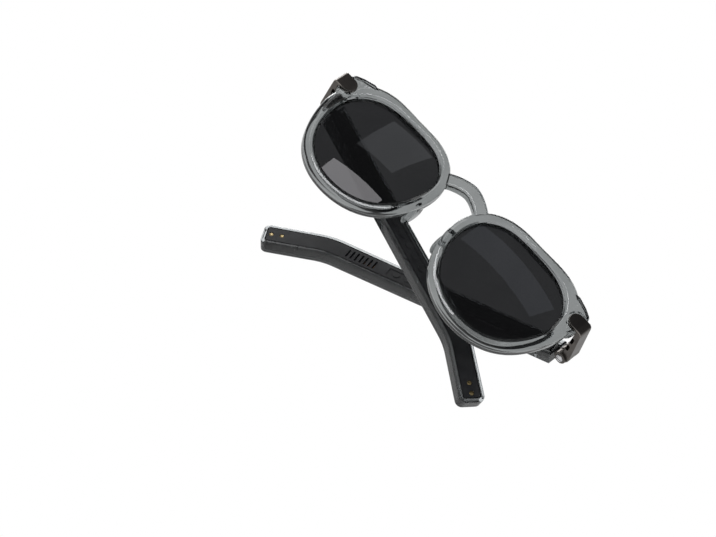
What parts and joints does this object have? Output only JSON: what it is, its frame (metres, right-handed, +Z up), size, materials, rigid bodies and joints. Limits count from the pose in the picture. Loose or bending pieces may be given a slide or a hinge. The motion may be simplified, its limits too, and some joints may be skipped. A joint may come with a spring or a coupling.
{
  "type": "smart glasses",
  "caption": "Audio smart sunglasses with a see-through plastic front, tinted lenses, metal hinge brackets and two folding temples that hold the electronics.",
  "frame": {"origin": "bottom centre of the box round the glasses as they stand, on the level of the rims' and temple tips' lowest points", "axes": "+Z up as worn, +X to the wearer's left, -Y the way the wearer looks"},
  "size_m": [0.1396, 0.0678, 0.0531],
  "materials": {
    "smoke_plastic": "polished see-through smoke grey",
    "tinted_lens": "polished, neutral dark grey",
    "gunmetal": "satin dark gunmetal",
    "bright_steel": "bright machined",
    "black_plastic": "fine satin black",
    "gold_contact": "plated",
    "board_laminate": "solder mask",
    "cell_foil": "foil pouch",
    "amber_film": "polyimide film",
    "light_pipe": "clear"
  },
  "bodies": {
    "front": {"front_frame": "smoke_plastic", "right_lens": "tinted_lens", "right_hinge_bracket": "gunmetal", "right_bracket_anchor": "gunmetal", "right_anchor_screw": "bright_steel", "right_hinge_screw": "bright_steel", "left_lens": "tinted_lens", "left_hinge_bracket": "gunmetal", "left_bracket_anchor": "gunmetal", "left_anchor_screw": "bright_steel", "left_hinge_screw": "bright_steel"},
    "right_temple": {"right_temple_shell": "smoke_plastic", "right_temple_cover": "black_plastic", "right_hinge_leaf": "gunmetal", "right_leaf_screw": "bright_steel", "right_battery": "cell_foil", "right_circuit_board": "board_laminate", "right_speaker": "black_plastic", "right_flex_cable": "amber_film", "right_microphone": "bright_steel", "right_charging_magnet": "bright_steel", "right_status_light": "light_pipe", "right_charging_contact_1": "gold_contact", "right_charging_contact_2": "gold_contact", "right_button_switch": "bright_steel"},
    "left_temple": {"left_temple_shell": "smoke_plastic", "left_temple_cover": "black_plastic", "left_hinge_leaf": "gunmetal", "left_leaf_screw": "bright_steel", "left_battery": "cell_foil", "left_circuit_board": "board_laminate", "left_speaker": "black_plastic", "left_flex_cable": "amber_film", "left_microphone": "bright_steel", "left_charging_magnet": "bright_steel", "left_status_light": "light_pipe", "left_charging_contact_1": "gold_contact", "left_charging_contact_2": "gold_contact", "left_touch_strip": "amber_film"},
    "action_button": {"right_action_button": "black_plastic"}
  },
  "joints": [
    {"name": "left_temple_fold", "type": "hinge", "parent": "front", "child": "left_temple", "pos_m": [0.0665, -0.01098, 0.04168], "axis": [0, 0, -1], "range_deg": [0, 71.4]},
    {"name": "right_temple_fold", "type": "hinge", "parent": "front", "child": "right_temple", "pos_m": [-0.0665, -0.01098, 0.04168], "axis": [0, 0, 1], "range_deg": [-5.4, 0]},
    {"name": "action_button_press", "type": "slide", "parent": "right_temple", "child": "action_button", "axis": [0.229, 0.0216, 0.9732], "range_m": [0, 0.0004], "stiffness_N_per_m": 1500, "springref_m": -0.0002}
  ]
}
